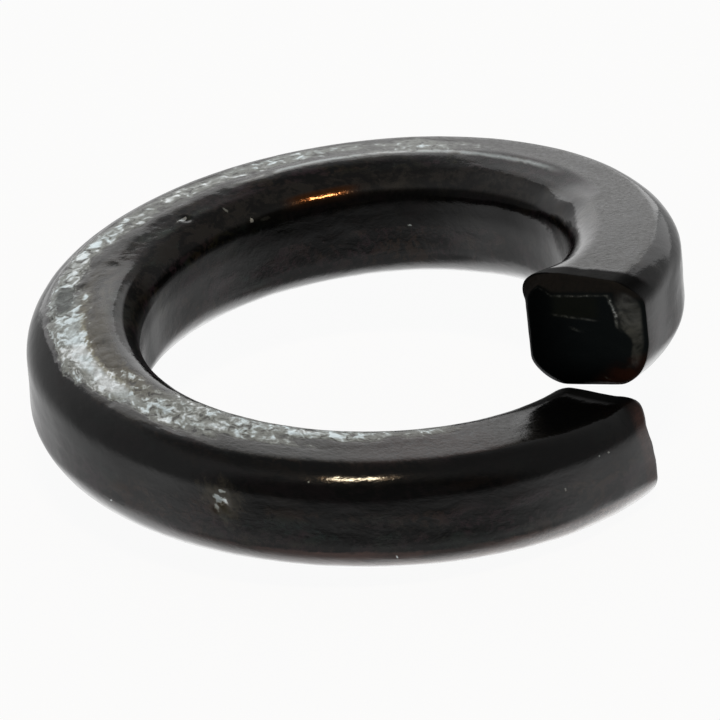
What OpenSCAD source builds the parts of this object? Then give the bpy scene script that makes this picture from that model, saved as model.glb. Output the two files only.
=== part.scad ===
// Spring lock washer, heavy section, for an M12 screw.
// One turn of rolled keystone wire, coiled into a left-hand helix and cropped
// off at both ends, so that its sharp corners dig in when a right-hand screw
// tries to back out.
// The bore stands on Z. The lowest point of the coil is at Z = 0.

/* [Bore and coil] */
// Diameter of the bore, which drops over the screw
bore_d = 12.5; // [6:0.1:32]
// Axial gap between the two ends where the upper one passes over the lower
end_gap = 0.16; // [0.02:0.02:2]
// Angle that the wire sweeps along its centre line, lower cut to upper cut
sweep_angle = 362.5; // [330:0.5:364]
// Direction of the lower end round the bore, from +X
start_angle = -31; // [-180:1:180]

/* [Wire section] */
// Radial width of the wire, from the bore wall to the outer wall
wire_w = 3.3; // [1.5:0.1:8]
// Height of the wire over the inner edges of its two pressed faces
height_in = 3.62; // [1.5:0.02:9]
// Height of the wire over the outer edges of its two pressed faces
height_out = 3.38; // [1.5:0.02:9]
// Radius of the two corners at the bore
corner_in = 1.1; // [0.1:0.05:2]
// Radius of the two corners at the outer wall
corner_out = 1.25; // [0.1:0.05:2]
// Angle by which the pressed faces break short of the inner corners' tops
break_in = 8; // [0:1:40]
// Angle by which the pressed faces break short of the outer corners' tops
break_out = 24; // [0:1:40]

/* [Cropped ends] */
// Turn of the lower cut away from a radial plane
lower_turn = 6.5; // [-25:0.5:25]
// Lean of the lower cut away from the bore axis
lower_lean = -4.5; // [-15:0.5:15]
// Turn of the upper cut away from a radial plane
upper_turn = 16.5; // [-25:0.5:25]
// Lean of the upper cut away from the bore axis
upper_lean = -2.5; // [-15:0.5:15]
// How far the broken middle of each cut stands out from its rolled rim
crop_rise = 0.18; // [0.02:0.02:0.6]
// Width of the rolled rim on the sides that the crop blade entered
crop_rim = 0.65; // [0.1:0.05:1.2]
// Width of the rolled rim on the other sides
crop_edge = 0.15; // [0.05:0.05:0.6]
// How far the upper cut's rim rolls back along the wire at the outer wall
upper_roll = 0.26; // [0.02:0.02:0.5]
// How far the lower cut's rim dips back at its top outer corner
lower_dip = 0.18; // [0.02:0.02:0.4]
// Radius of the upper end's top corner at the bore, drawn square by the crop
burr_corner = 0.55; // [0.1:0.05:1]

/* [Hidden] */
bore_r = bore_d / 2;
outer_r = bore_r + wire_w;
centre_r = (bore_r + outer_r) / 2;
wire_h = max(height_in, height_out);
pitch = wire_h + end_gap;       // rise of the coil in a full turn
skin = 0.04;                    // swept past both walls, then trimmed to true cylinders
step_angle = 3.75;              // the sweep has a ring at least this often
corner_steps = 6;               // chords in each rounded corner
burr_steps = 2;                 // rings over which the burr is drawn out
steps = ceil(sweep_angle / step_angle);
trim_h = 4 * pitch;             // taller than the coil, above and below

// Corner radii, kept inside half the wall that they round
round_in = min(corner_in, 0.45 * min(wire_w, height_in));
round_out = min(corner_out, 0.45 * min(wire_w, height_out));
round_burr = min(burr_corner, round_in);

// Rounded corner as [radius, height] points. It is centred at radius r, its
// pressed edge is half_h above or below mid height, and it runs from one angle
// to another, anticlockwise from +radius
function corner(r, half_h, side, radius, broken, from, to) =
    let (z = side * (half_h - radius * cos(broken)))
    [for (i = [0 : corner_steps]) let (a = from + (to - from) * i / corner_steps)
        [r + radius * cos(a), z + radius * sin(a)]];

// Keystone wire section about its own mid height, anticlockwise from the outer
// wall; its top corner at the bore has a radius of its own
function section(top_in) =
    let (out = outer_r + skin - round_out, in = bore_r - skin + round_in,
         half_out = height_out / 2, half_in = height_in / 2)
    concat(
        corner(out, half_out, 1, round_out, break_out, 0, 90 - break_out),
        corner(bore_r - skin + top_in, half_in, 1, top_in, break_in, 90 + break_in, 180),
        corner(in, half_in, -1, round_in, break_in, 180, 270 - break_in),
        corner(out, half_out, -1, round_out, break_out, 270 + break_out, 360));

// Section point drawn in to the broken middle of a cut, whose wide rims are on
// the upper side and the outer side, where the crop blade entered
function cropped(p) =
    let (w = outer_r - bore_r, shift = (crop_rim - crop_edge) / 2, taken = crop_rim + crop_edge)
    [centre_r - shift + (p[0] - centre_r) * (1 - taken / w),
     -shift + p[1] * (1 - taken / wire_h)];

// How far round the bore a cut lies from the centre line's end, in degrees
function cut_offset(p, turn, lean) =
    (tan(turn) * (p[0] - centre_r) + tan(lean) * p[1]) / p[0] * 180 / PI;

// 0 to 1: how far a section point lies towards the outer wall, fading out below
function outward(p) =
    let (side = (p[0] - centre_r) / wire_w * 4 - 1.1, low = p[1] / wire_h * 3 + 1.35)
    max(0, min(1, side)) * max(0, min(1, low));

// 0 to 1: how near a section point lies to the top outer corner
function cornerward(p) =
    max(0, 1 - norm([p[0] - outer_r, p[1] - wire_h / 4]) / (wire_h / 4));

function lower_cut(p) = start_angle + cut_offset(p, lower_turn, lower_lean)
    - lower_dip * cornerward(p) / p[0] * 180 / PI;
function upper_cut(p) = start_angle - sweep_angle + cut_offset(p, upper_turn, upper_lean)
    + upper_roll * outward(p) / p[0] * 180 / PI;

// Section point carried round the bore to angle a, rising as the coil does
function carried(p, a) =
    [p[0] * cos(a), p[0] * sin(a), p[1] + pitch * (start_angle - a) / 360];

// Wire swept along the helix, with a cropped face at each end
module coil() {
    plain = section(round_in);
    squared = section(round_burr);
    n = len(plain);
    crop_turn = crop_rise / centre_r * 180 / PI;
    rings = concat(
        [[for (p = plain) let (q = cropped(p)) carried(q, lower_cut(q) + crop_turn)]],
        [for (i = [0 : steps]) let (drawn = max(0, 1 - (steps - i) / burr_steps))
            [for (j = [0 : n - 1]) let (p = plain[j] * (1 - drawn) + squared[j] * drawn)
                carried(p, lower_cut(p) + (upper_cut(p) - lower_cut(p)) * i / steps)]],
        [[for (p = squared) let (q = cropped(p)) carried(q, upper_cut(q) - crop_turn)]]);
    last = len(rings) - 1;
    lowest = min([for (ring = rings, p = ring) p[2]]);
    sides = [for (i = [0 : last - 1], j = [0 : n - 1]) let (k = (j + 1) % n, a = i * n)
        each [[a + j, a + n + j, a + k], [a + n + j, a + n + k, a + k]]];
    faces = [[for (j = [0 : n - 1]) j], [for (j = [n - 1 : -1 : 0]) last * n + j]];
    translate([0, 0, -lowest])
        polyhedron([for (ring = rings) each ring], concat(sides, faces), convexity = 6);
}

// The finished washer: the coil between a true outer wall and a true bore
module lock_washer() {
    color([0.17, 0.17, 0.18])
    difference() {
        intersection() {
            coil();
            cylinder(h = trim_h, r = outer_r, center = true, $fn = 192);
        }
        cylinder(h = trim_h, r = bore_r, center = true, $fn = 192);
    }
}

lock_washer();
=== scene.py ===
import math
from types import SimpleNamespace

import bpy
from mathutils import Matrix, Vector


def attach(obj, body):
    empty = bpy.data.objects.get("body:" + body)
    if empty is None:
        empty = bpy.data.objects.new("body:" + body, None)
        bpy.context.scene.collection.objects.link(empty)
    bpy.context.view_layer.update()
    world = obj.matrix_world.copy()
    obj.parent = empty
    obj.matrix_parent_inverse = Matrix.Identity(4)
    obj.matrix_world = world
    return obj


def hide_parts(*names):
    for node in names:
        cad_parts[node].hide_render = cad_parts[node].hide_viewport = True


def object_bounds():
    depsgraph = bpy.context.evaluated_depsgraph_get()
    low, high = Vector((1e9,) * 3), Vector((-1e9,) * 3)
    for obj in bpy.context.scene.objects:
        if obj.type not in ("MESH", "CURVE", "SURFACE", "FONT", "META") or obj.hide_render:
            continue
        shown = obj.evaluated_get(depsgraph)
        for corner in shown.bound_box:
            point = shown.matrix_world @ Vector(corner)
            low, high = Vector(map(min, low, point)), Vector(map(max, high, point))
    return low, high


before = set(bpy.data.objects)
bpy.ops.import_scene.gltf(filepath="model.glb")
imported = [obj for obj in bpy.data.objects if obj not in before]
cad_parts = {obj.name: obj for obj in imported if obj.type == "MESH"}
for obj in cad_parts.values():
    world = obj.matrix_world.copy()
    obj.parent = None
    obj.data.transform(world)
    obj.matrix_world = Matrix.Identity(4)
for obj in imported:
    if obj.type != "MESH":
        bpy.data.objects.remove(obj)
cadLow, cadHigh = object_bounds()
mm = 0.001
print("frame loaded, box", [round((b - a) / mm, 2) for a, b in zip(cadLow, cadHigh)], "mm")


class Flow:
    # a value in a node tree: arithmetic on it adds Math nodes, node() adds any other node
    def __init__(self, tree, socket=None):
        self.tree, self.socket = tree, socket

    def put(self, target, value):
        if isinstance(value, Flow):
            self.tree.links.new(value.socket, target)
        elif target.type == "VECTOR" and isinstance(value, (int, float)):
            target.default_value = (value, value, value)
        else:
            target.default_value = value

    def node(self, kind, settings=None, sockets=None, out=0):
        made = self.tree.nodes.new(kind)
        for name, value in (settings or {}).items():
            setattr(made, name, value)
        for name, value in (sockets or {}).items():
            self.put(made.inputs[name], value)
        return Flow(self.tree, made.outputs[out])

    def math(self, operation, *values):
        types = [value.socket.type for value in values if isinstance(value, Flow)]
        isVector = "VECTOR" in types or any(isinstance(value, tuple) for value in values)
        kind = "ShaderNodeVectorMath" if isVector else "ShaderNodeMath"
        out = "Value" if operation in ("DOT_PRODUCT", "LENGTH", "DISTANCE") else 0
        return self.node(kind, {"operation": operation}, dict(enumerate(values)), out)

    def __add__(self, other):
        return self.math("ADD", self, other)

    def __radd__(self, other):
        return self.math("ADD", other, self)

    def __sub__(self, other):
        return self.math("SUBTRACT", self, other)

    def __rsub__(self, other):
        return self.math("SUBTRACT", other, self)

    def __mul__(self, other):
        return self.math("MULTIPLY", self, other)

    def __rmul__(self, other):
        return self.math("MULTIPLY", other, self)

    def __truediv__(self, other):
        return self.math("DIVIDE", self, other)

    def __pow__(self, other):
        return self.math("POWER", self, other)

    def __neg__(self):
        return self * -1

    def by(self, operation):
        # an operation that takes this value alone
        return self.math(operation, self)

    def least(self, other):
        return self.math("MINIMUM", self, other)

    def most(self, other):
        return self.math("MAXIMUM", self, other)

    def within(self, low, high):
        return self.most(low).least(high)

    def rise(self, low, high):
        # 0 below low, 1 above high, eased between; low above high turns it round
        return self.node("ShaderNodeMapRange", {"interpolation_type": "SMOOTHSTEP"},
                         {"Value": self, "From Min": low, "From Max": high})

    def band(self, low, high, soft):
        # 1 from low to high, fading out over soft on both sides
        return self.rise(low - soft, low + soft) * self.rise(high + soft, high - soft)

    def parts(self):
        made = self.tree.nodes.new("ShaderNodeSeparateXYZ")
        self.tree.links.new(self.socket, made.inputs[0])
        return [Flow(self.tree, made.outputs[i]) for i in range(3)]

    def vector(self, x, y, z):
        return self.node("ShaderNodeCombineXYZ", None, {0: x, 1: y, 2: z})

    def mix(self, low, high):
        # colours blended by this value
        return self.node("ShaderNodeMix", {"data_type": "RGBA"}, {0: self, 6: low, 7: high}, 2)

    def near(self, value, reach):
        # 1 at value, 0 from reach away
        return (self - value).by("ABSOLUTE").rise(reach, 0.0)

    def noise(self, place, stretch, seed, detail=2.0, rough=0.5, twist=0.0):
        shift = (seed * 7.3, seed * 3.1, seed * 5.7)
        if isinstance(seed, Flow):
            shift = self.vector(*shift)
        moved = self.math("MULTIPLY_ADD", place, stretch, shift)
        return self.node("ShaderNodeTexNoise", None, {
            "Vector": moved, "Scale": 1.0, "Detail": detail, "Roughness": rough, "Distortion": twist})


# Camera: long lens, a little above, rolled so that the coil leans to the right

view = {
    "elevation": 25.33,      # degrees above the floor
    "roll": -4.343,          # degrees
    "target": (0.0487, 0.0, 3.150),   # mm, on the bore's axis
    "distance": 924.3,       # mm
    "lens": 1600.0,          # mm
    "sensor": 36.0,          # mm
    "clip": (0.01, 20.0),    # metres
}


def addCamera(view):
    data = bpy.data.cameras.new("camera")
    camera = bpy.data.objects.new("camera", data)
    bpy.context.scene.collection.objects.link(camera)
    data.lens, data.sensor_width = view["lens"], view["sensor"]
    data.clip_start, data.clip_end = view["clip"]
    up, roll = math.radians(view["elevation"]), math.radians(view["roll"])
    back = Vector((0.0, -math.cos(up), math.sin(up)))
    right, above = Vector((1.0, 0.0, 0.0)), Vector((0.0, math.sin(up), math.cos(up)))
    across = right * math.cos(roll) + above * math.sin(roll)
    turn = Matrix((across, back.cross(across), back)).transposed()
    camera.matrix_world = turn.to_4x4()
    camera.location = (Vector(view["target"]) + back * view["distance"]) * mm
    bpy.context.scene.camera = camera


addCamera(view)
print("camera placed")

# The washer: one turn of keystone wire on a left-hand helix, cropped at both ends.
# Lengths in mm, angles in degrees; the same sizes as the CAD part.

washer = {
    "boreRadius": 6.25,
    "wireWidth": 3.3,
    "heightAtBore": 3.62,
    "heightOutside": 3.38,
    "cornerAtBore": 1.1,
    "cornerOutside": 1.25,
    "breakAtBore": 8.0,
    "breakOutside": 24.0,
    "skin": 0.04,            # the rounded corners stand this far past the trimmed walls
    "pitch": 3.78,
    "sweep": 362.5,
    "start": -31.0,
    "lowerTurn": 6.5,
    "lowerLean": -4.5,
    "upperTurn": 16.5,
    "upperLean": -2.5,
    "cropRise": 0.18,        # the broken middle stands out from the rolled rim
    "rollBack": 0.27,        # the rim rolls back at the outer wall
    "waviness": 0.016,
    "ripple": 0.005,
    "dentDepth": 0.016,
    "earlyBreak": 0.14,
    "rimWidth": 0.12,        # of the cuts' rolled rims, as a share of the section
    "closing": 1.3,          # how the cuts' rings bunch towards the rim
    "brokenTop": 1.19,       # where the broken middle ends above, from the wire's middle
    "brokenSide": 0.82,      # and outside
    "ledgeUpper": 0.04,      # the steps across it
    "ledgeLower": 0.035,
    "ledgeCorner": 0.05,
    "raggedLower": 0.1,
    "raggedUpper": 0.08,
    "wander": 30.0,          # how far the rubbed zones' borders wander, in degrees
    "wanderRound": 0.7,      # and round the wire
    "fadeAlong": 9.0,        # and how softly they end
    "fadeRound": 0.17,
    "easing": 4,
    "stepsAlong": 740,
    "stepsRound": 112,
    "stepsAcrossCut": 44,
    "seed": 7.0,
}

# marks pressed into the surface: degrees from the lower end, mm round the wire
# from the middle of the outer wall, radius in mm, depth in mm
marks = (
    (86.6, 0.34, 0.26, 0.07), (88.2, 0.12, 0.16, 0.04), (85.4, 0.62, 0.14, 0.03),
    (196.0, 3.72, 0.2, 0.07), (115.0, 2.2, 0.3, 0.03), (150.5, 2.15, 0.35, 0.04),
    (161.0, 2.75, 0.4, 0.035), (208.0, 4.75, 0.16, 0.03), (57.0, -1.0, 0.1, 0.03),
    (103.0, 2.7, 0.35, 0.03), (127.0, 2.35, 0.3, 0.025), (135.0, 3.2, 0.35, 0.03),
    (171.0, 2.2, 0.3, 0.03), (182.0, 2.6, 0.3, 0.03), (72.0, 3.2, 0.3, 0.02),
)

# rubbed zones: from and to in degrees, from and to in mm round the wire, how strongly
zones = (
    (93.0, 114.0, 2.42, 3.3, 1.0), (112.0, 160.0, 2.22, 3.1, 0.95), (128.0, 156.0, 2.02, 2.8, 0.8),
    (156.0, 188.0, 2.02, 2.66, 1.0), (184.0, 197.0, 2.05, 2.9, 0.82), (198.0, 243.0, 2.15, 2.85, 0.74),
    (246.0, 264.0, 2.35, 3.2, 0.7), (52.0, 104.0, 3.25, 3.95, 0.92), (74.0, 104.0, 2.75, 3.5, 0.78),
    (100.0, 124.0, 3.0, 3.6, 0.8), (36.0, 62.0, 3.4, 3.95, 0.6),
)

# how the lower cut's rim dips: mm round the wire, reach in mm, mm along the wire
dips = ((0.88, 0.75, -0.2), (-0.36, 0.5, 0.09), (1.65, 0.35, 0.08), (-1.5, 0.6, 0.16))

# burrs at the cuts: from degrees, full at degrees, mm round the wire, reach in mm, height in mm;
# the first squares off the upper end's top corner at the bore
burrs = (
    (348.0, 361.0, 4.5, 0.8, 0.19), (7.0, 0.0, 1.55, 0.8, 0.1), (7.0, 0.0, -0.9, 0.7, 0.05),
    (355.0, 362.0, -4.9, 0.7, -0.1),
)


def radiusNear(girth, atBore):
    # roughly how far from the axis a place round the wire lies, in mm
    onWall, onFace = 9.55, 8.6
    return onWall if abs(girth) < 1.5 else onFace if abs(girth) < 3 else atBore


def wireSection(s, girth):
    # radius and height of the wire's outline; girth goes from -1 to 1, with 0 at the
    # middle of the outer wall, 1 and -1 at the middle of the bore wall, above and below
    rad = math.pi / 180
    outFrom = (1 - s["skin"] / s["cornerOutside"]).by("ARCCOSINE")
    outTo = math.pi / 2 - s["breakOutside"] * rad
    inFrom = math.pi / 2 + s["breakAtBore"] * rad
    inTo = math.pi - (1 - s["skin"] / s["cornerAtBore"]).by("ARCCOSINE")
    outR, inR = s["cornerOutside"], s["cornerAtBore"]
    outer = s["boreRadius"] + s["wireWidth"]

    def cos(angle):
        return angle.by("COSINE")

    def sin(angle):
        return angle.by("SINE")

    wallOut = s["heightOutside"] / 2 - outR * sin(outTo) + outR * sin(outFrom)
    wallIn = s["heightAtBore"] / 2 - inR * sin(inFrom) + inR * sin(inTo)
    arcOut, arcIn = outR * (outTo - outFrom), inR * (inTo - inFrom)
    flatR = (s["boreRadius"] - s["skin"] + inR + inR * cos(inFrom)
             - (outer + s["skin"] - outR + outR * cos(outTo)))
    flatZ = (s["heightAtBore"] - s["heightOutside"]) / 2
    flat = (flatR * flatR + flatZ * flatZ).by("SQRT")
    half = wallOut + arcOut + flat + arcIn + wallIn

    went = girth.by("ABSOLUTE") * half
    onWall = went.within(0.0, wallOut)
    turnOut = outFrom + (went - wallOut).within(0.0, arcOut) / outR
    onFlat = (went - wallOut - arcOut).within(0.0, flat) / flat
    turnIn = inFrom + (went - wallOut - arcOut - flat).within(0.0, arcIn) / inR
    onBore = (went - half + wallIn).most(0.0)
    radius = (outer + outR * (cos(turnOut) - cos(outFrom)) + flatR * onFlat
              + inR * (cos(turnIn) - cos(inFrom)))
    height = (onWall + outR * (sin(turnOut) - sin(outFrom)) + flatZ * onFlat
              + inR * (sin(turnIn) - sin(inFrom)) - onBore)
    return radius, height * girth.by("SIGN"), girth * half


def cutFace(s, across, height, closed):
    # how far up its ramp a point of a cut is: 0 on the rolled rim, 1 on the broken middle,
    # whose top edge rises at the bore's side, and whose outer edge steps out and back below
    half, tall = s["wireWidth"] / 2, s["heightAtBore"] / 2
    top = s["brokenTop"] + 0.08 * across + (-0.79 - across).most(0.0) * 0.8
    side = s["brokenSide"] + 0.13 * height.rise(1.3, 0.5) + 0.33 * height.rise(0.3, -0.3)
    side = side - (-0.88 - height).most(0.0) * 1.2
    ramp = ((tall - height) / (tall - top)).least((half - across) / (half - side))
    ramp = ramp.least((1 - closed) / s["rimWidth"])
    # two ledges across the broken middle, and a slope towards its outer top corner
    upper = height.rise(0.53, 0.47) * height.rise(-0.5, 0.3) * across.rise(0.2, -0.1)
    upper = upper * across.rise(-1.3, -0.6)
    lower = height.rise(0.17, 0.11) * height.rise(-0.9, 0.0) * across.band(-0.4, 0.35, 0.25)
    corner = (across * 0.8 + height * 0.6).rise(1.1, 0.6)
    ledges = s["ledgeUpper"] * upper + s["ledgeLower"] * lower + s["ledgeCorner"] * corner
    raised = ramp.within(0.0, 1.0)
    return ramp, (s["cropRise"] + ledges) * raised


def coilTree(sizes, marks, zones, dips, burrs, finish):
    tree = bpy.data.node_groups.new("coiledWire", "GeometryNodeTree")
    tree.interface.new_socket("Geometry", in_out="OUTPUT", socket_type="NodeSocketGeometry")
    for name, value in sizes.items():
        kind = "NodeSocketInt" if isinstance(value, int) else "NodeSocketFloat"
        tree.interface.new_socket(name, in_out="INPUT", socket_type=kind)
    given = tree.nodes.new("NodeGroupInput")
    s = {name: Flow(tree, given.outputs[name]) for name in sizes}
    flow = Flow(tree)
    rad = math.pi / 180

    # a grid with one row for each ring of the wire, and rows that close in over the two cuts
    rings = s["stepsAlong"] + s["stepsAcrossCut"] * 2 + 1
    grid = flow.node("GeometryNodeMeshGrid", None, {
        "Vertices X": rings, "Vertices Y": s["stepsRound"] + 1})
    index = flow.node("GeometryNodeFieldOnDomain", {"data_type": "INT", "domain": "POINT"}, {
        "Value": flow.node("GeometryNodeInputIndex")})
    ring = (index / (s["stepsRound"] + 1)).by("FLOOR")
    spot = index - ring * (s["stepsRound"] + 1)
    girth = spot / s["stepsRound"] * 2 - 1
    fromEnd = ring.least(rings - 1 - ring) / s["stepsAcrossCut"]
    closed = 1 - (1 - fromEnd.within(0.0, 1.0)) ** s["closing"]     # 0 at a cut's middle, 1 at its rim
    along = ((ring - s["stepsAcrossCut"]) / s["stepsAlong"]).within(0.0, 1.0)

    radius, height, girthLength = wireSection(s, girth)
    middle = s["boreRadius"] + s["wireWidth"] / 2
    across = (radius - middle) * closed
    height = height * closed
    radius = middle + across

    def cutAngle(turn, lean):
        slope = (s[turn] * rad).by("TANGENT") * across + (s[lean] * rad).by("TANGENT") * height
        return slope / radius / rad

    # the rims aren't even: the upper one rolls back at the outer wall, the lower one dips there
    ramp, face = cutFace(s, across, height, closed)
    rolled = girthLength.rise(1.8, 0.9) * girthLength.rise(-1.0, -0.3) * closed * closed * s["rollBack"]
    dipped = sum(girthLength.near(place, reach) * depth for place, reach, depth in dips) * closed * closed
    ragged = flow.noise(flow.vector(across, height, along), (2.2, 2.2, 9.0), s["seed"], 3.0) - 0.5
    low = s["start"] + cutAngle("lowerTurn", "lowerLean")
    low = low + (face + dipped + ragged * s["raggedLower"]) / radius / rad
    high = s["start"] - s["sweep"] + cutAngle("upperTurn", "upperLean")
    high = high - (face - rolled + ragged * s["raggedUpper"]) / radius / rad
    angle = low + (high - low) * along
    lift = height + s["pitch"] * (s["start"] - angle) / 360
    place = flow.vector(radius * (angle * rad).by("COSINE"), radius * (angle * rad).by("SINE"), lift)

    # rolled wire isn't quite true: its faces wave a little, and they are marked, always inwards
    wirePlace = flow.vector(along * s["sweep"] * rad * middle, across, height)
    degrees = along * s["sweep"]
    wave = flow.noise(wirePlace, (0.25, 0.8, 0.8), s["seed"], 2.0)
    ripple = flow.noise(wirePlace, (1.3, 1.7, 1.7), s["seed"] + 1, 2.0)
    sunk = wave.rise(0.3, 0.7) * s["waviness"] + ripple.rise(0.3, 0.7) * s["ripple"]
    dent = flow.noise(wirePlace, (1.5, 2.4, 2.4), s["seed"] + 3, 2.0, 0.5, 0.3)
    worn = degrees.band(88.0, 235.0, 14.0) * girthLength.band(2.0, 3.5, 0.2)
    sunk = sunk + dent.rise(0.5, 0.7) * worn * s["dentDepth"]
    # the top face breaks early towards the bore, all along the back
    broken = 3.0 + degrees.rise(205.0, 225.0) * 0.2 - degrees.band(264.0, 300.0, 12.0) * 0.25
    early = degrees.rise(148.0, 176.0) * (degrees + girthLength * 8).rise(342.0, 326.0)
    early = early * (girthLength - broken).rise(0.0, 0.75) * girthLength.rise(5.3, 4.2)
    sunk = sunk + early * s["earlyBreak"]
    for markAngle, markGirth, markRadius, depth in marks:
        markPlace = radiusNear(markGirth, 7.0)
        far = flow.vector((degrees - markAngle) * rad * markPlace, girthLength - markGirth, 0.0)
        sunk = sunk + far.by("LENGTH").rise(markRadius, 0.0) * depth
    burr = sum(degrees.rise(start, full) * girthLength.near(place, reach) * tall
               for start, full, place, reach, tall in burrs)

    # how rubbed each place is: zones whose borders wander
    patchy = flow.noise(wirePlace, (0.9, 1.5, 1.5), s["seed"] + 5, 3.0, 0.6, 0.5) - 0.5
    angleThere, girthThere = degrees + patchy * s["wander"], girthLength + patchy * s["wanderRound"]
    wear = 0.0
    for start, end, outer, inner, strength in zones:
        there = angleThere.band(start, end, s["fadeAlong"]) * girthThere.band(outer, inner, s["fadeRound"])
        wear = (there * strength).most(wear)

    shape = flow.node("GeometryNodeSetPosition", None, {"Geometry": grid, "Position": place * mm})
    onCut = 1 - fromEnd.within(0.0, 1.0)
    for name, kind, domain, value in (
            ("wirePlace", "FLOAT_VECTOR", "POINT", wirePlace),
            ("girth", "FLOAT", "CORNER", girthLength),
            ("cut", "FLOAT", "POINT", onCut),
            ("ramp", "FLOAT", "POINT", ramp),
            ("wear", "FLOAT", "POINT", wear),
            ("sunk", "FLOAT", "POINT", (sunk - burr) * onCut.rise(0.03, 0.0)),
            ("turned", "FLOAT", "POINT", degrees)):
        shape = flow.node("GeometryNodeStoreNamedAttribute", {"data_type": kind, "domain": domain}, {
            "Geometry": shape, "Name": name, "Value": value})
    shape = flow.node("GeometryNodeMergeByDistance", None, {"Geometry": shape, "Distance": 0.0005 * mm})
    shape = flow.node("GeometryNodeFlipFaces", None, {"Mesh": shape})

    def kept(name):
        return flow.node("GeometryNodeInputNamedAttribute", {"data_type": "FLOAT"}, {"Name": name})

    # eased, so that flats run into corners without a line; less at the cuts
    eased = flow.node("GeometryNodeBlurAttribute", {"data_type": "FLOAT_VECTOR"}, {
        "Value": flow.node("GeometryNodeInputPosition"), "Iterations": s["easing"],
        "Weight": 0.1 + 0.9 * kept("turned").band(1.5, s["sweep"] - 1.5, 1.5)})
    shape = flow.node("GeometryNodeSetPosition", None, {"Geometry": shape, "Position": eased})
    normal = flow.node("GeometryNodeInputNormal")
    shape = flow.node("GeometryNodeSetPosition", None, {
        "Geometry": shape, "Offset": normal * (kept("sunk") * -mm)})

    # stood on the floor
    position = flow.node("GeometryNodeInputPosition")
    stat = tree.nodes.new("GeometryNodeAttributeStatistic")
    flow.put(stat.inputs["Geometry"], shape)
    flow.put(stat.inputs["Attribute"], position.parts()[2])
    lowest = Flow(tree, stat.outputs["Min"])
    shape = flow.node("GeometryNodeSetPosition", None, {
        "Geometry": shape, "Offset": flow.vector(0.0, 0.0, -lowest)})
    shape = flow.node("GeometryNodeSetShadeSmooth", None, {"Geometry": shape})
    shape = flow.node("GeometryNodeRealizeInstances", None, {"Geometry": shape})
    shape = flow.node("GeometryNodeSetMaterial", None, {"Geometry": shape, "Material": finish})
    result = tree.nodes.new("NodeGroupOutput")
    tree.links.new(shape.socket, result.inputs["Geometry"])
    return tree


def grownMesh(name, tree, sizes):
    # the tree's result as a plain mesh object
    grower = bpy.data.objects.new(name, bpy.data.meshes.new(name))
    bpy.context.scene.collection.objects.link(grower)
    modifier = grower.modifiers.new("grow", "NODES")
    modifier.node_group = tree
    for item in tree.interface.items_tree:
        if item.in_out == "INPUT":
            modifier[item.identifier] = sizes[item.name]
    depsgraph = bpy.context.evaluated_depsgraph_get()
    mesh = bpy.data.meshes.new_from_object(grower.evaluated_get(depsgraph), depsgraph=depsgraph)
    grower.modifiers.remove(modifier)
    grower.data = mesh
    return grower


# Oiled black oxide over rolled steel, rubbed to bare metal along the top

oxide = {
    "black": (0.0028, 0.0030, 0.0034, 1.0),
    "brown": (0.027, 0.018, 0.0145, 1.0),
    "olive": (0.016, 0.016, 0.009, 1.0),
    "violet": (0.024, 0.015, 0.022, 1.0),
    "teal": (0.009, 0.020, 0.021, 1.0),
    "pressed": (0.034, 0.0335, 0.033, 1.0),   # the two pressed faces
    "pressedWarm": (0.034, 0.020, 0.018, 1.0),
    "tan": (0.150, 0.141, 0.110, 1.0),        # rubbed thin, not through
    "yellow": (0.34, 0.33, 0.22, 1.0),
    "stain": (0.295, 0.33, 0.335, 1.0),       # rubbed nearly through
    "dusty": (0.021, 0.0195, 0.019, 1.0),     # the bore's top corner
    # painted warm sheen at the lamp's reflection on the bore's corner
    "warmHighlightTint": (0.090, 0.033, 0.009, 1.0),
    "patch": (0.040, 0.060, 0.062, 1.0),      # blue-black
    "rim": (0.30, 0.245, 0.235, 1.0),         # the lower edge, chipped pale, and a painted reflection of the floor
    "lowWall": (0.098, 0.062, 0.062, 1.0),    # above it, rubbed brown
    "bare": (0.76, 0.79, 0.795, 1.0),         # steel
    "bareCool": (0.66, 0.74, 0.76, 1.0),      # bluer in blotches
    "broken": (0.0010, 0.0016, 0.0020, 1.0),  # the cuts
    "lit": (0.0062, 0.0090, 0.0112, 1.0),     # the middle, outer side and top of the upper one: painted light
    "lip": (0.0160, 0.0150, 0.0152, 1.0),     # their rolled rims
    "step": (0.0085, 0.0108, 0.0100, 1.0),    # above its ledge
    "facet": (0.085, 0.093, 0.094, 1.0),      # rolled over, at the outer wall: painted reflection of the lit side
    "rust": (0.022, 0.008, 0.005, 1.0),
    "endBand": (0.060, 0.028, 0.024, 1.0),    # the outer wall, right beside the lower cut
    "smooth": 0.115,         # roughness of the coat
    "matt": 0.36,            # of the pressed faces
    "rubbed": 0.42,          # of bare steel
    "smoothest": 0.06,
    "roughest": 0.6,
    "relief": 0.008,         # mm
    "ior": 1.5,
    "dullCutAndShade": 0.025,          # specular level of the black cuts and of the painted shade
    "dullCutAndShadeRough": 0.5,
    "seed": 3.0,
}

# noises over the steel: how fine along, across and up the wire, seed, detail, roughness, twist
grains = {
    "drift": ((0.3, 0.6, 0.6), 0, 2.0, 0.5, 0.5),
    "blotch": ((0.9, 1.5, 1.5), 1, 4.0, 0.65, 0.5),
    "tint": ((0.6, 1.1, 1.1), 2, 3.0, 0.6, 0.3),
    "grit": ((3.9, 3.9, 3.9), 6, 1.5, 0.55, 0.7),
    "fine": ((8.0, 8.0, 8.0), 3, 2.0, 0.6, 0.0),
}

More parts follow.
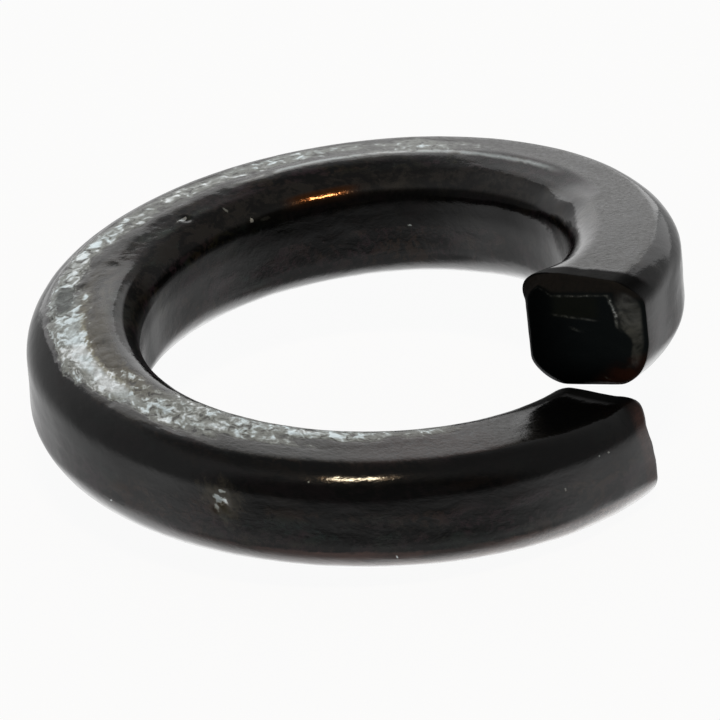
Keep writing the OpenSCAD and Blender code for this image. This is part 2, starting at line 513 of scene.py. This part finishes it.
# where along the wire the finish changes: from and to in degrees, and how softly
stretches = {
    "blackest": (200.0, 300.0, 16.0),     # the back of the bore's corner
    "narrower": (262.0, 300.0, 12.0),     # the pressed face there
    "mottled": (142.0, 200.0, 14.0),      # inside of the rubbed zones
    "dusty": (150.0, 300.0, 15.0),        # along the bore's top corner
    "strokes": (108.0, 152.0, 10.0),      # rubbed in longer strokes
    "streak": (113.0, 147.0, 7.0),        # nearly solid bare steel
    "curls": (100.0, 176.0, 14.0),        # bright curls
    "breakLine": (214.0, 290.0, 6.0),     # a bright line where the pressed face breaks, bare steel and partly a painted highlight
    "warm": (112.0, 156.0, 12.0),         # tan stain
    "yellow": (118.0, 152.0, 8.0),        # and its yellower border
    "tanned": (116.0, 168.0, 12.0),       # more tan towards the bore
    "shadeLeft": (110.0, 172.0, 10.0),    # painted shade: parts that hardly shine
    "shadeBack": (160.0, 300.0, 10.0),
    "shadeWall": (150.0, 296.0, 14.0),
    "shadeBorder": (262.0, 306.0, 12.0),
}

# chips and dust: degrees, mm round the wire, mm along it, mm across it, brightness
specks = (
    (57.0, -1.12, 0.03, 0.09, 0.9), (252.0, 5.98, 0.07, 0.07, 0.8), (213.0, 4.9, 0.14, 0.06, 0.09),
    (205.0, 4.1, 0.03, 0.12, 0.35), (87.0, 0.4, 0.2, 0.15, 0.9), (86.0, 0.7, 0.13, 0.06, 0.7),
    (88.2, 0.16, 0.07, 0.12, 0.5), (12.0, 0.78, 0.05, 0.035, 0.4), (14.3, 0.8, 0.03, 0.03, 0.4),
    (112.0, -0.8, 0.05, 0.04, 0.6), (209.5, 4.8, 0.07, 0.07, 0.7), (195.5, 3.62, 0.16, 0.05, 0.8),
    (70.0, 1.3, 0.04, 0.04, 0.5), (24.0, 0.15, 0.03, 0.06, 0.3),
)


def steelFields(flow, look, grains, stretches):
    # what the finish is worked out from: places on the wire, and noises over it;
    # degrees count from the lower end, girth, across and height are in mm
    def attribute(name, out="Fac"):
        return flow.node("ShaderNodeAttribute", {"attribute_name": name}, None, out)

    f = SimpleNamespace()
    f.place = attribute("wirePlace", "Vector")
    f.along, f.across, f.height = f.place.parts()
    f.degrees, f.girth, f.cut = attribute("turned"), attribute("girth"), attribute("cut")
    f.ramp, f.wear = attribute("ramp"), attribute("wear")
    f.face = f.cut.rise(0.0, 0.015)
    f.skin = 1 - f.face
    f.shown = (f.wear * 4).within(0.0, 1.0)
    f.at = {name: f.degrees.band(*stretch) for name, stretch in stretches.items()}
    for name, (stretch, seed, detail, rough, twist) in grains.items():
        setattr(f, name, flow.noise(f.place, stretch, look["seed"] + seed, detail, rough, twist))
    # short strokes, along the wire in front and aslant from the left on
    slant = f.along + f.across * f.degrees.rise(85.0, 112.0)
    stretched = flow.vector(slant * 4.2, f.across * 2.6, f.height * 2.6)
    f.stroke = flow.noise(stretched, 1.0, look["seed"] + 4, 3.0, 0.6, 0.6)
    return f


def addPressed(f):
    # the two pressed faces, as far as they go round the wire
    apart = f.girth.by("ABSOLUTE") + (f.blotch - 0.5) * 0.15
    inner = 3.74 - 0.6 * f.degrees.rise(138.0, 178.0) * (f.degrees + f.girth * 8).rise(345.0, 332.0)
    inner = inner - f.at["narrower"] * 0.22
    outer = apart - f.degrees.near(98.0, 12.0) * 0.25
    f.pressed = outer.rise(1.9, 2.06) * (apart - inner).rise(0.2, -0.25) * f.skin
    # black all the same under the upper end, a painted shade where it hangs over, and close to the upper
    # cut
    f.fresh = (f.degrees + f.girth.least(3.6) * 5).rise(44.0, 30.0) * f.girth.rise(1.2, 2.0)
    f.sheared = (f.degrees + (f.blotch - 0.5) * 3).rise(357.0, 358.6) * f.girth.rise(0.9, 1.6) * f.skin
    f.pressed = f.pressed * (1 - f.fresh) * (1 - f.degrees.rise(356.0, 358.0) * 0.8)


def blackCoat(f, look):
    # black, with brown, teal, violet and olive in blotches
    tone = f.drift.rise(0.32, 0.56).mix(look["teal"], look["brown"])
    tone = f.tint.rise(0.42, 0.62).mix(tone, look["violet"])
    tone = (f.tint.rise(0.5, 0.35) * f.girth.rise(2.5, 3.5)).mix(tone, look["olive"])
    deep = f.at["blackest"] * f.girth.rise(3.8, 4.4)
    polished = f.girth.band(0.3, 1.9, 0.25)        # the outer top corner is black too
    # no tints on top near the lower end, where the upper end hangs over: painted shade
    fresher = (f.degrees + f.girth * 5).rise(56.0, 48.0) * f.girth.rise(1.2, 2.0)
    tinted = (f.blotch + (f.grit - 0.5) * 0.7 + (f.fine - 0.5) * 0.5).rise(0.4, 0.66)
    tinted = tinted * (1 - deep * 0.85) * (1 - fresher) * (1 - polished * 0.85) * (1 - f.sheared)
    coat = tinted.mix(look["black"], tone)

    mottled = f.girth.rise(3.2, 3.6) * f.girth.rise(4.7, 4.4) * f.at["mottled"]
    mottled = mottled * (f.blotch - 0.5 + f.fine * 0.3).rise(0.06, 0.3) * 0.7
    coat = mottled.mix(coat, f.tint.rise(0.4, 0.6).mix(look["patch"], look["brown"]))
    warmer = f.degrees.rise(70.0, 50.0) * f.degrees.rise(26.0, 38.0)
    grainy = (f.fine * 3.0 + f.blotch * 2.0 + f.grit - 2.15).within(0.0, 1.0)
    coat = (f.pressed * grainy).mix(coat, warmer.mix(look["pressed"], look["pressedWarm"]))
    dusty = f.girth.band(3.95, 4.75, 0.2) * f.at["dusty"]
    dusty = dusty * (0.15 + (f.blotch + (f.grit - 0.5) * 0.5).rise(0.4, 0.62))
    return dusty.within(0.0, 1.0).mix(coat, look["dusty"])


def chippedEdgeAndFloorSheen(f, look, coat):
    # the foot of the outer wall is rubbed brown, and its edge is chipped pale and painted paler still as a
    # reflection of the white floor
    below = -f.girth + (f.blotch - 0.5) * 0.5
    low = f.degrees.rise(112.0, 60.0) * below.band(0.92, 2.3, 0.05) * (0.3 + f.tint.rise(0.35, 0.6) * 0.7)
    coat = (low * f.skin).mix(coat, look["lowWall"])
    edge = f.degrees.rise(100.0, 20.0) * below.band(1.35, 2.1, 0.12)
    edge = edge * (0.2 + f.blotch.rise(0.42, 0.6) * 0.6)
    edge = edge + f.degrees.rise(45.0, 12.0) * below.band(0.98, 1.4, 0.08) * f.fine.rise(0.46, 0.6) * 0.6
    return (edge.within(0.0, 0.8) * f.skin).mix(coat, look["rim"])


def bareGrains(f):
    # how bare the steel is in the rubbed zones
    bare = f.wear * 0.95 + (f.grit - 0.5) * 2.4 + (f.stroke - 0.5) * (0.8 + f.at["strokes"] * 1.2)
    bare = (bare + (f.blotch - 0.5) * 0.8).rise(0.6, 1.3) * f.shown
    # a nearly solid streak on the left
    streak = f.at["streak"] * (f.girth + (f.blotch - 0.5) * 0.5).band(2.42, 2.92, 0.16)
    bare = bare.most(streak * (0.74 + (f.stroke - 0.5) * 1.3 + (f.grit - 0.5) * 0.6))
    # bright curls along the zones' outer border
    curl = (f.wear + (f.grit - 0.5) * 1.6 + (f.blotch - 0.5) * 0.8).near(0.4, 0.22)
    curl = curl * (f.wear * 2.5).within(0.0, 1.0) * f.at["curls"]
    curl = curl * f.girth.rise(3.0, 2.6) * f.fine.rise(0.42, 0.6)
    bare = bare.most(curl * 0.7)
    # a bright line of bare steel where the pressed face breaks, at the back, partly a painted highlight
    # where the crease catches the light
    line = f.at["breakLine"] * (f.girth + (f.stroke - 0.5) * 0.15).near(3.2, 0.17)
    return bare.most(line * f.tint.rise(0.36, 0.5) * 0.5)


def rubbedThin(f, look, coat, bare):
    # a pale stain where the coat is rubbed thin, with pits that keep it, tan on the left
    pits = f.grit.rise(0.42, 0.33)
    f.thin = (f.wear + (f.grit - 0.5) * 0.9 + (f.stroke - 0.5) * 0.5).rise(0.05, 0.8)
    f.thin = f.thin * f.shown * (1 - pits * 0.8)
    warmth = f.at["warm"] * f.girth.rise(2.8, 2.95)
    stain = warmth.mix(look["stain"], look["tan"])
    yellow = f.at["yellow"] * (f.girth + (f.blotch - 0.5) * 0.4).near(2.98, 0.12)
    stain = yellow.mix(stain, look["yellow"])
    patch = f.degrees.near(158.0, 8.0) * f.girth.near(2.4, 0.4)      # one blue-black patch
    stain = (patch * 2.5).within(0.0, 0.85).mix(stain, look["patch"])
    bare = bare * (1 - patch.rise(0.2, 0.5) * 0.8)
    coat = (f.thin * 0.9).mix(coat, stain)
    tanned = f.at["tanned"] * f.girth.band(2.9, 3.7, 0.2)
    return (tanned * f.blotch.rise(0.3, 0.6) * 0.6).mix(coat, look["tan"]), bare


def cutCrestWearAndGlints(f):
    # the cuts' crests, ledges and a nick in pale steel: worn, and a painted highlight, brightest on the
    # right and top where they catch the light
    bright = 0.4 + 0.6 * f.across.rise(0.6, 0.85) * f.height.rise(0.1, 0.4)
    bright = bright + 0.3 * f.across.near(0.35, 0.25)
    crest = f.ramp.near(1.0, 0.11) * f.face * bright * (f.across + f.height).rise(-0.4, 0.6)
    crest = crest * f.height.rise(-0.1, 0.25) * (0.45 + 0.55 * f.blotch.rise(0.4, 0.55))
    ledge = (f.height + f.across * 0.08).near(0.47, 0.07) * f.across.band(-0.75, 0.42, 0.15)
    ledge = ledge + (f.height + f.across * 0.3).near(0.08, 0.08) * f.across.band(-0.3, 0.05, 0.1)
    nick = (f.across - 0.62) * 0.6 + f.height + 1.42
    nick = nick.near(0.0, 0.07) * f.across.near(0.62, 0.16)
    return (crest + (ledge * 0.3 + nick * 0.3) * f.face) * (0.35 + 0.65 * f.fine.rise(0.35, 0.6))


def cutColour(f, look):
    # black, painted paler towards the upper cut's middle, outer side and top, where light falls, with the
    # rolled-over part outside painted pale teal as a reflection of the lit side, and a little rust below
    upper = f.degrees.rise(100.0, 200.0)
    colour = (f.across.rise(-1.5, 0.2) * f.height.rise(-1.6, -0.6) * upper).mix(look["broken"], look["lit"])
    facet = f.ramp.rise(0.97, 0.8) * (f.across - f.height * 0.4).rise(0.4, 0.9) * f.height.rise(-1.2, -0.7)
    facet = facet * f.cut.rise(0.09, 0.18) * (0.15 + 1.2 * (f.blotch * 0.7 + f.grit * 0.3).rise(0.36, 0.66))
    # stronger in one band across it: a painted highlight streak
    f.facet = facet * (0.62 + 0.6 * f.across.rise(1.35, 0.8) * f.height.band(0.0, 1.0, 0.2))
    colour = f.facet.mix(colour, look["facet"])
    rust = (f.across - f.height).rise(1.5, 2.3) * f.tint.rise(0.35, 0.6) * f.height.rise(-0.5, -0.9)
    colour = rust.mix(colour, look["rust"])
    plateau = f.height.band(0.5, 1.15, 0.06) * f.across.band(-0.75, 0.5, 0.15) * f.ramp.rise(0.85, 1.0)
    colour = (plateau * (0.4 + f.blotch)).within(0.0, 1.0).mix(colour, look["step"])
    lip = f.ramp.rise(0.95, 0.7) * f.height.rise(0.9, 1.2) * (1 - f.facet) * upper * (0.4 + f.fine)
    return lip.mix(colour, look["lip"])


def chipped(f, flow, specks):
    # small bright chips and grains of dust
    chips = 0.0
    for angle, spot, longer, wider, bright in specks:
        perDegree = math.radians(radiusNear(spot, 6.5))
        off = flow.vector((f.degrees - angle) * (perDegree / longer), (f.girth - spot) / wider, 0.0)
        chips = (off.by("LENGTH") + (f.fine - 0.5) * 2.5).rise(1.2, 0.5) * bright + chips
    return chips * f.skin


def shadedPlaces(f):
    # painted shade on the bore's corner, dull black that hardly shines: left of the bore, below the corner
    # at the back, the bore's wall under that, and the pressed face's border at the back right
    left = f.at["shadeLeft"] * f.girth.rise(4.12, 4.24) * f.girth.rise(5.4, 5.2)
    back = f.at["shadeBack"] * f.girth.rise(4.7, 4.85) * f.girth.rise(5.3, 5.1)
    wall = f.at["shadeWall"] * f.girth.rise(4.7, 5.0) * f.girth.rise(5.95, 5.5)
    border = f.at["shadeBorder"] * f.girth.rise(2.7, 3.2) * f.girth.rise(4.3, 3.9)
    return left.most(back * 0.8).most(wall * 0.4).most(border * 0.55)


def oxideSteel(look, grains, stretches, specks):
    material = bpy.data.materials.new("oxideSteel")
    material.use_nodes = True
    tree = material.node_tree
    shader = tree.nodes["Principled BSDF"]
    shader.inputs["IOR"].default_value = look["ior"]
    flow = Flow(tree)
    f = steelFields(flow, look, grains, stretches)
    addPressed(f)

    coat = chippedEdgeAndFloorSheen(f, look, blackCoat(f, look))
    coat, bare = rubbedThin(f, look, coat, bareGrains(f))
    coat = f.face.mix(coat, cutColour(f, look))
    endBand = f.degrees.rise(4.4, 2.2) * f.girth.by("ABSOLUTE").rise(1.9, 1.2) * f.skin
    endBand = endBand * (0.35 + f.blotch.rise(0.3, 0.6) * 0.4 + f.fine.rise(0.45, 0.6) * 0.25)
    coat = endBand.mix(coat, look["endBand"])
    haze = flow.vector((f.degrees - 86.8) * 0.2, (f.girth - 0.35) * 1.1, 0.0)      # round the pit
    haze = (haze.by("LENGTH") + (f.stroke - 0.5) * 1.5).rise(1.0, 0.2)
    coat = (haze * 0.3).mix(coat, look["tan"])
    bare = (bare * f.skin).most(cutCrestWearAndGlints(f)).most(chipped(f, flow, specks)).within(0.0, 1.0)
    steel = f.tint.rise(0.35, 0.6).mix(look["bare"], look["bareCool"])
    # a painted warm sheen: an orange metal tint laid where the lamp's reflection falls on the bore's corner
    warmHighlightTint = f.degrees.near(229.0, 13.0).rise(0.0, 0.7) * f.girth.near(4.7, 0.36).rise(0.0, 0.8) * (1 - bare)

    rough = look["smooth"] + (f.pressed + f.face * 0.3) * (look["matt"] - look["smooth"])
    rough = rough + (f.fine - 0.5) * (0.08 + f.pressed * 0.25) + (f.blotch - 0.5) * 0.1
    rough = rough + (look["rubbed"] - rough) * bare.most(f.thin * f.skin)
    dulled = f.degrees.near(252.0, 12.0) * f.girth.rise(4.0, 4.5)      # at the back of the bore's corner
    rough = rough + dulled * 0.2
    relief = (f.blotch * 1.6 + f.drift * 1.5) * f.skin * (1 - f.shown)
    relief = relief + f.fine * (0.3 + f.wear * 0.4 + f.pressed * 0.9)
    relief = relief + f.stroke * f.skin * (0.2 + f.wear * 0.6) + f.grit * f.skin * (0.2 + f.wear * 1.2)
    bump = flow.node("ShaderNodeBump", None, {
        "Strength": 1.0, "Distance": look["relief"] * mm, "Height": relief}, "Normal")
    flow.put(shader.inputs["Base Color"], warmHighlightTint.mix(bare.mix(coat, steel), look["warmHighlightTint"]))
    flow.put(shader.inputs["Metallic"], bare.most(warmHighlightTint * 0.75))
    flow.put(shader.inputs["Roughness"], rough.within(look["smoothest"], look["roughest"]))
    flow.put(shader.inputs["Normal"], bump)

    # the broken cuts hardly shine; what lies right under the upper end and the shaded places get the same
    # dull black as painted shade
    dullCutAndShade = flow.node("ShaderNodeBsdfPrincipled", None, {
        "Base Color": coat, "Roughness": look["dullCutAndShadeRough"], "Specular IOR Level": look["dullCutAndShade"],
        "Normal": bump})
    under = f.fresh * f.degrees.rise(5.0, 3.0).most(f.girth.rise(3.3, 3.7))
    dullCutAndShadeMask = (f.face * (1 - f.facet) + under + shadedPlaces(f) + f.sheared) * (1 - bare)
    both = flow.node("ShaderNodeMixShader", None, {
        0: dullCutAndShadeMask.within(0.0, 1.0), 1: Flow(tree, shader.outputs["BSDF"]), 2: dullCutAndShade})
    tree.links.new(both.socket, tree.nodes["Material Output"].inputs["Surface"])
    return material


finish = oxideSteel(oxide, grains, stretches, specks)
lockWasher = grownMesh("lockWasher", coilTree(washer, marks, zones, dips, burrs, finish), washer)
print("washer grown,", len(lockWasher.data.polygons), "faces")
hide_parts("lock_washer")
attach(lockWasher, "root")

# Floor, lamps and the room

studio = {
    "floorSize": 3.0,        # metres
    "floorColour": (0.9, 0.9, 0.9, 1.0),
    "shadow": 0.06,          # how much of the shadow shows on the white floor
    "front": 0.055,          # brightness of the room, 1 being the background's white
    "sides": 0.24,           # more than in front
    "behind": 0.15,          # more than at the sides
    "frontRight": 0.14,      # less than in front
    "overhead": 0.13,
    "table": 0.52,           # the lit table's front
    "tableBack": 0.7,        # more than in front
    "tableRight": 0.55,      # less
    "tableFar": 0.45,        # share taken off far away
    "tableFarRight": 0.22,   # and more of it on the right
    "under": 1.9,            # the table close below
    "underFront": 1.5,       # less
}

white = (1.0, 1.0, 1.0)
# lamps: degrees round from behind, degrees up, metres wide and high, radiance, colour, metres away
lamps = {
    "backLeft": (-4.0, 20.0, 0.76, 0.8, 1.0, white, 1.0),
    "backRight": (28.0, 14.0, 0.36, 0.55, 0.5, white, 1.0),
    "strip": (177.0, 55.0, 0.19, 0.08, 55.0, (1.0, 0.87, 0.62), 1.0),
    "glow": (177.0, 55.0, 0.3, 0.16, 2.0, (1.0, 0.42, 0.1), 1.05),    # warm edges to the strip's reflection
}


def whiteFloor(studio):
    material = bpy.data.materials.new("whiteFloor")
    material.use_nodes = True
    tree = material.node_tree
    tree.nodes.remove(tree.nodes["Principled BSDF"])
    flow = Flow(tree)
    seen = flow.node("ShaderNodeLightPath", None, None, "Is Camera Ray")
    matt = flow.node("ShaderNodeBsdfDiffuse", None, {"Color": studio["floorColour"]})
    glow = flow.node("ShaderNodeEmission", None, {"Color": (1.0, 1.0, 1.0, 1.0), "Strength": 1.0})
    both = flow.node("ShaderNodeMixShader", None, {0: seen * (1 - studio["shadow"]), 1: matt, 2: glow})
    tree.links.new(both.socket, tree.nodes["Material Output"].inputs["Surface"])
    return material


def addFloor(studio):
    half = studio["floorSize"] / 2
    mesh = bpy.data.meshes.new("floor")
    corners = [(-half, -half, 0.0), (half, -half, 0.0), (half, half, 0.0), (-half, half, 0.0)]
    mesh.from_pydata(corners, [], [(0, 1, 2, 3)])
    mesh.materials.append(whiteFloor(studio))
    floor = bpy.data.objects.new("floor", mesh)
    bpy.context.scene.collection.objects.link(floor)
    floor.location.z = cadLow.z
    floor.visible_glossy = False     # the steel mirrors the lit table below instead


def addSoftbox(name, azimuth, elevation, width, height, radiance, colour, distance):
    # a panel that faces the washer; azimuth 0 is behind it, 90 to its right, 180 the camera's side
    data = bpy.data.lights.new(name, "AREA")
    data.shape = "RECTANGLE"
    data.size, data.size_y = width, height
    data.color = colour
    data.energy = math.pi * width * height * radiance
    a, e = math.radians(azimuth), math.radians(elevation)
    away = Vector((math.sin(a) * math.cos(e), math.cos(a) * math.cos(e), math.sin(e)))
    lamp = bpy.data.objects.new(name, data)
    bpy.context.scene.collection.objects.link(lamp)
    lamp.location = away * distance
    lamp.rotation_mode = "QUATERNION"
    lamp.rotation_quaternion = away.to_track_quat("Z", "Y")
    lamp.visible_camera = False


def addRoom(studio):
    world = bpy.data.worlds.new("room")
    bpy.context.scene.world = world
    world.use_nodes = True
    tree = world.node_tree
    flow = Flow(tree)
    x, y, z = flow.node("ShaderNodeTexCoord", None, None, "Generated").parts()
    seen = flow.node("ShaderNodeLightPath", None, None, "Is Camera Ray")
    # the room: dark on the camera's side, grey at the sides, brighter behind
    room = studio["front"] + y.rise(-0.82, -0.42) * studio["sides"] + y.rise(0.0, 0.8) * studio["behind"]
    room = room - x.rise(-0.1, 0.6) * y.rise(-0.9, -0.5) * studio["frontRight"]
    room = room + (studio["overhead"] - room) * z.rise(0.72, 0.95)
    # the lit table: bright below, darker far off at the back and on the left
    table = studio["table"] + y.rise(-0.7, 0.0) * studio["tableBack"]
    table = table - x.rise(0.3, 0.9) * y.rise(-0.5, 0.2) * studio["tableRight"]
    far = (y.rise(0.35, 0.8) * x.rise(0.72, 0.5)).most(x.rise(-0.3, -0.7) * y.rise(-0.5, 0.1))
    darker = studio["tableFar"] + studio["tableFarRight"] * x.rise(0.15, 0.3)
    table = table * (1 - darker * far * z.rise(-0.6, -0.47))
    under = studio["under"] - studio["underFront"] * y.rise(0.25, -0.3)
    table = table + (under - table) * z.rise(-0.48, -0.7)
    light = room + (table - room) * (z - y * 0.2).rise(-0.05, -0.47)
    flow.put(tree.nodes["Background"].inputs["Strength"], seen + (1 - seen) * light)
    tree.nodes["Background"].inputs["Color"].default_value = (1.0, 1.0, 1.0, 1.0)


addFloor(studio)
addRoom(studio)
for name, softbox in lamps.items():
    addSoftbox(name, *softbox)
bpy.context.scene.view_settings.view_transform = "Standard"
print("floor, room and lamps ready")
